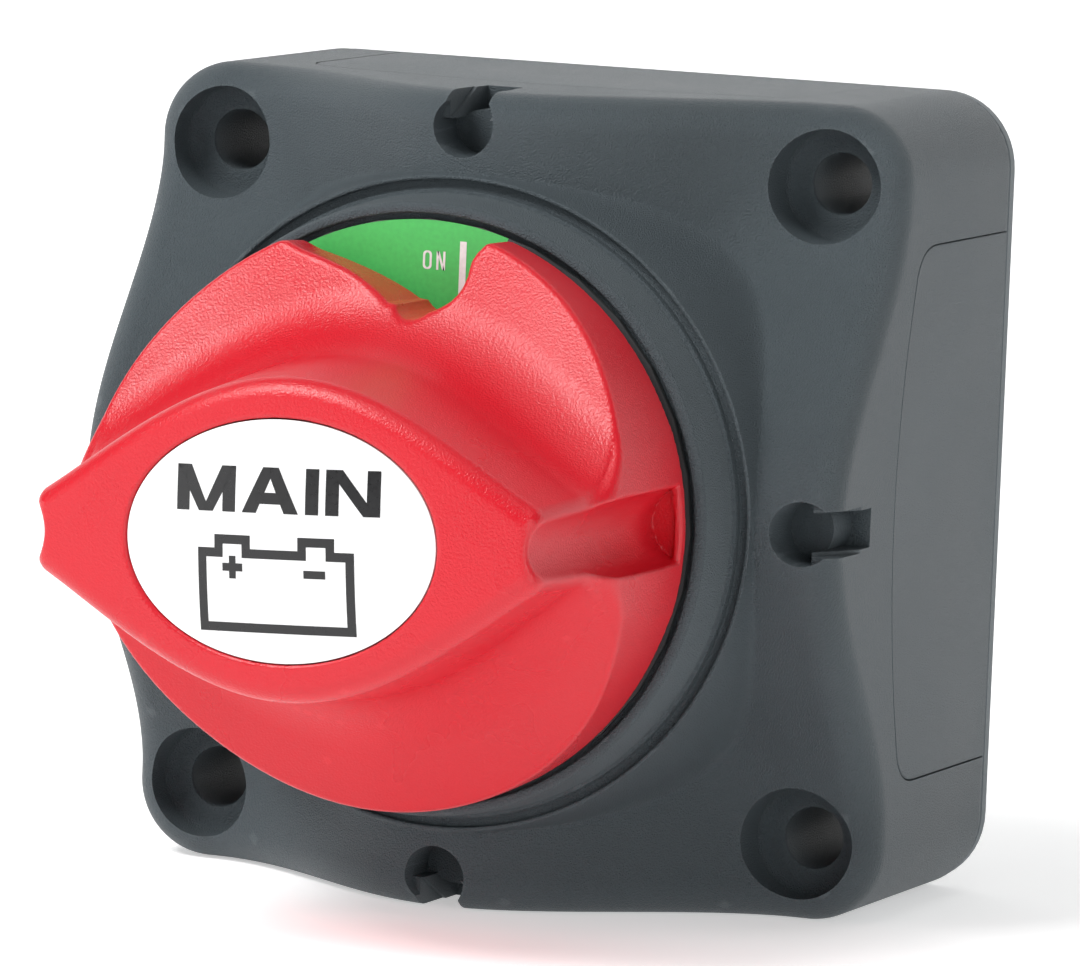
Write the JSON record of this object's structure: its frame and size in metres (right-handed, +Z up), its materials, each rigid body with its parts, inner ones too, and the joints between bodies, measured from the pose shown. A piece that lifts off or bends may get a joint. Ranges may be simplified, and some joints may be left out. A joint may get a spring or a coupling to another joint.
{
  "type": "battery switch",
  "caption": "Surface-mounted marine battery isolating switch with a red finger knob over an ON/OFF dial and enclosed stud terminals.",
  "frame": {"origin": "centre of the rear cover's back face, which goes against the bulkhead", "axes": "+Z up, -Y out of the bulkhead towards the user, +X to the right seen from the front"},
  "size_m": [0.069, 0.0753, 0.069],
  "materials": {
    "housing_plastic": "dark grey moulded plastic with a fine matte grain",
    "cover_plastic": "dark grey moulded plastic, smooth matte",
    "knob_plastic": "red moulded plastic, satin with a fine grain",
    "label_plastic": "white domed label, glossy",
    "dial_plastic": "printed dial, satin, with green and red sectors",
    "black_moulding": "black glass-filled moulding",
    "acetal": "natural acetal, waxy",
    "seal_rubber": "black rubber",
    "copper": "bright copper bar",
    "tinned_copper": "tin-plated copper",
    "stainless_steel": "stainless steel",
    "spring_steel": "drawn spring wire"
  },
  "bodies": {
    "housing_body": {"housing": "housing_plastic", "rear_cover": "cover_plastic", "side_plate_right": "housing_plastic", "side_plate_top": "housing_plastic", "side_plate_left": "housing_plastic", "side_plate_bottom": "housing_plastic", "dial_disc": "dial_plastic", "detent_spring_right": "spring_steel", "detent_spring_left": "spring_steel", "return_spring": "spring_steel", "terminal_base": "black_moulding", "terminal_stud_left": "tinned_copper", "terminal_nut_left": "stainless_steel", "spring_washer_left": "stainless_steel", "flat_washer_left": "stainless_steel", "terminal_stud_right": "tinned_copper", "terminal_nut_right": "stainless_steel", "spring_washer_right": "stainless_steel", "flat_washer_right": "stainless_steel", "base_screw_1": "stainless_steel", "base_screw_2": "stainless_steel", "base_screw_3": "stainless_steel", "base_screw_4": "stainless_steel"},
    "rotor_body": {"knob": "knob_plastic", "label_plate": "label_plastic", "knob_screw": "stainless_steel", "knob_washer": "stainless_steel", "cam_rotor": "acetal", "rotor_o_ring": "seal_rubber"},
    "contact_body": {"contact_carrier": "black_moulding", "bridge_spring": "spring_steel", "contact_bridge": "copper", "bridge_clip": "stainless_steel"}
  },
  "joints": [
    {"name": "knob_turn", "type": "hinge", "parent": "housing_body", "child": "rotor_body", "pos_m": [0, -0.05, 0], "axis": [0, -1, 0], "range_deg": [0, 90], "deforming": ["detent_spring_right", "detent_spring_left"]},
    {"name": "contact_slide", "type": "slide", "parent": "housing_body", "child": "contact_body", "axis": [0, -1, 0], "range_m": [0, 0.0028], "deforming": ["return_spring"]}
  ],
  "couplings": [
    {"joint": "contact_slide", "follows": "knob_turn", "m_per_rad": 0.0017189}
  ]
}
